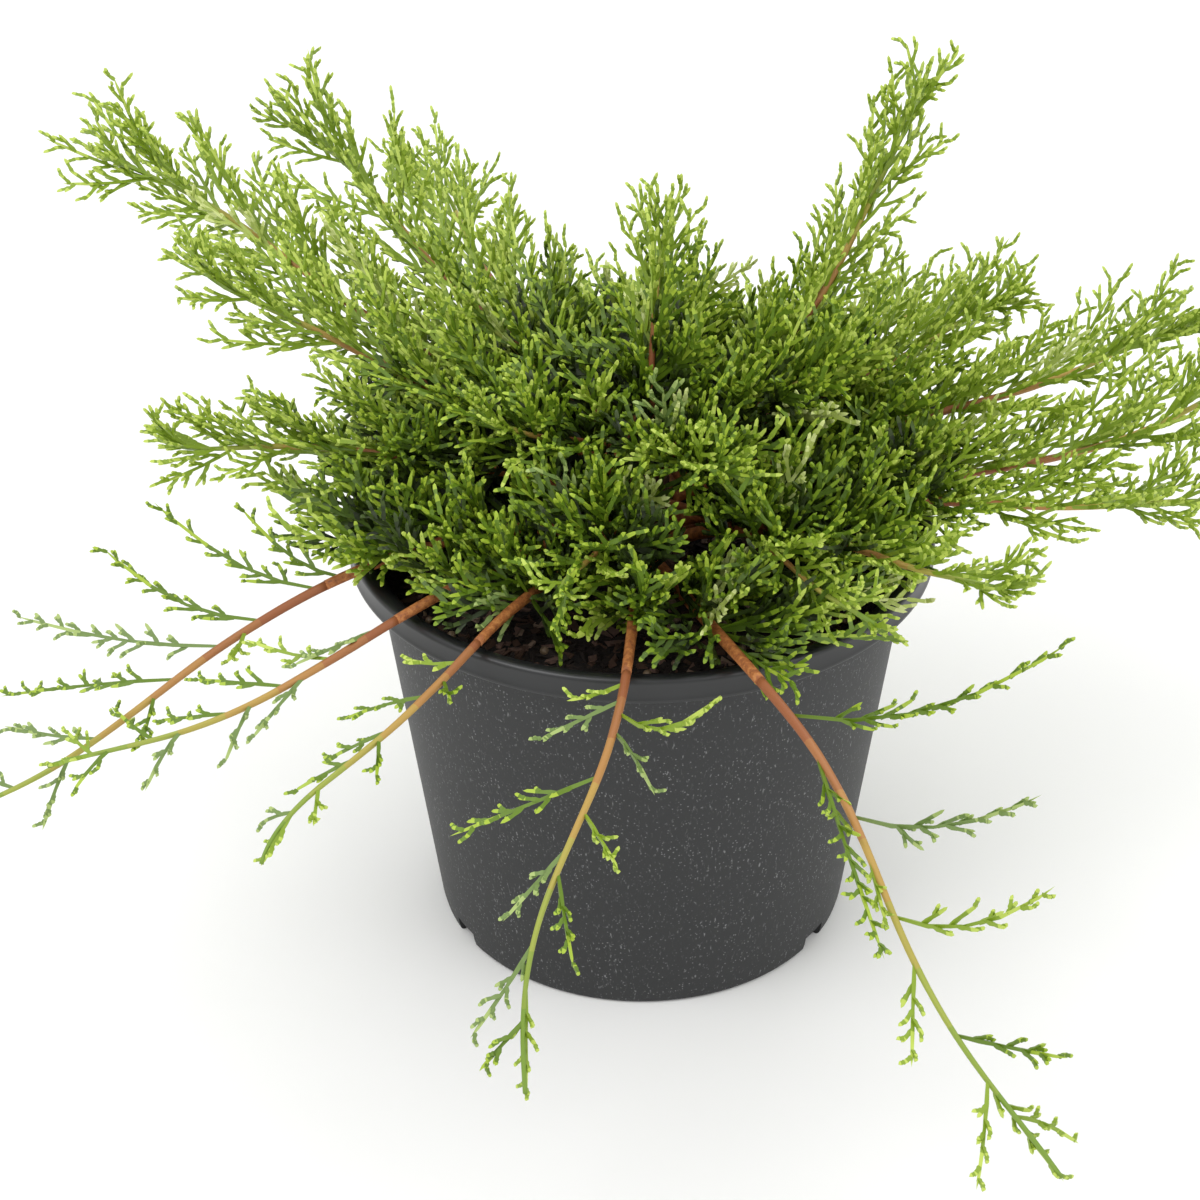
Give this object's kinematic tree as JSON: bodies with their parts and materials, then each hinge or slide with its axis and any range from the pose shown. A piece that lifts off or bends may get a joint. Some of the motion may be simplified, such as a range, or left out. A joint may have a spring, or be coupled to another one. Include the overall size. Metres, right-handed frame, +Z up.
{
  "type": "potted spreading juniper",
  "caption": "Low spreading evergreen shrub in a squat round nursery pot: limbs arch over the rim and carry flat scale-leaf sprays round a dense upright dome.",
  "frame": {"origin": "centre of the pot's flat underside", "axes": "+Z up along the pot's axis, -Y towards the viewer of the picture, +X to the viewer's right"},
  "size_m": [0.6065, 0.6045, 0.3713],
  "materials": {
    "pot_plastic": "charcoal recycled plastic, pitted and lightly scuffed, smoother on the rim",
    "potting_mix": "near-black composted bark mix with brown chips",
    "bark": "rough grey-brown fibrous bark",
    "young_bark": "thin orange-brown young bark",
    "foliage": "fine green scale leaves with lime tips, satin"
  },
  "bodies": {
    "root": {"bough_back": "young_bark", "bough_back_left": "young_bark", "bough_back_left_high": "young_bark", "bough_back_right": "young_bark", "bough_front": "young_bark", "bough_front_left": "young_bark", "bough_front_right": "young_bark", "bough_left": "young_bark", "bough_left_front": "young_bark", "bough_left_high": "young_bark", "bough_left_mid": "young_bark", "bough_left_upper": "young_bark", "bough_right": "young_bark", "bough_right_back": "young_bark", "bough_right_front": "young_bark", "bough_right_high": "young_bark", "bough_right_long": "young_bark", "bough_right_low": "young_bark", "bough_right_upper": "young_bark", "foliage_back": "foliage", "foliage_back_left": "foliage", "foliage_back_left_high": "foliage", "foliage_back_right": "foliage", "foliage_dome_1": "foliage", "foliage_dome_2": "foliage", "foliage_dome_3": "foliage", "foliage_dome_4": "foliage", "foliage_dome_5": "foliage", "foliage_front": "foliage", "foliage_front_left": "foliage", "foliage_front_right": "foliage", "foliage_left": "foliage", "foliage_left_front": "foliage", "foliage_left_high": "foliage", "foliage_left_mid": "foliage", "foliage_left_upper": "foliage", "foliage_right": "foliage", "foliage_right_back": "foliage", "foliage_right_front": "foliage", "foliage_right_high": "foliage", "foliage_right_long": "foliage", "foliage_right_low": "foliage", "foliage_right_upper": "foliage", "foliage_rim_front_left": "foliage", "foliage_rim_front_right": "foliage", "foliage_spire": "foliage", "pot": "pot_plastic", "potting_mix": "potting_mix", "trunk": "bark"}
  },
  "joints": []
}
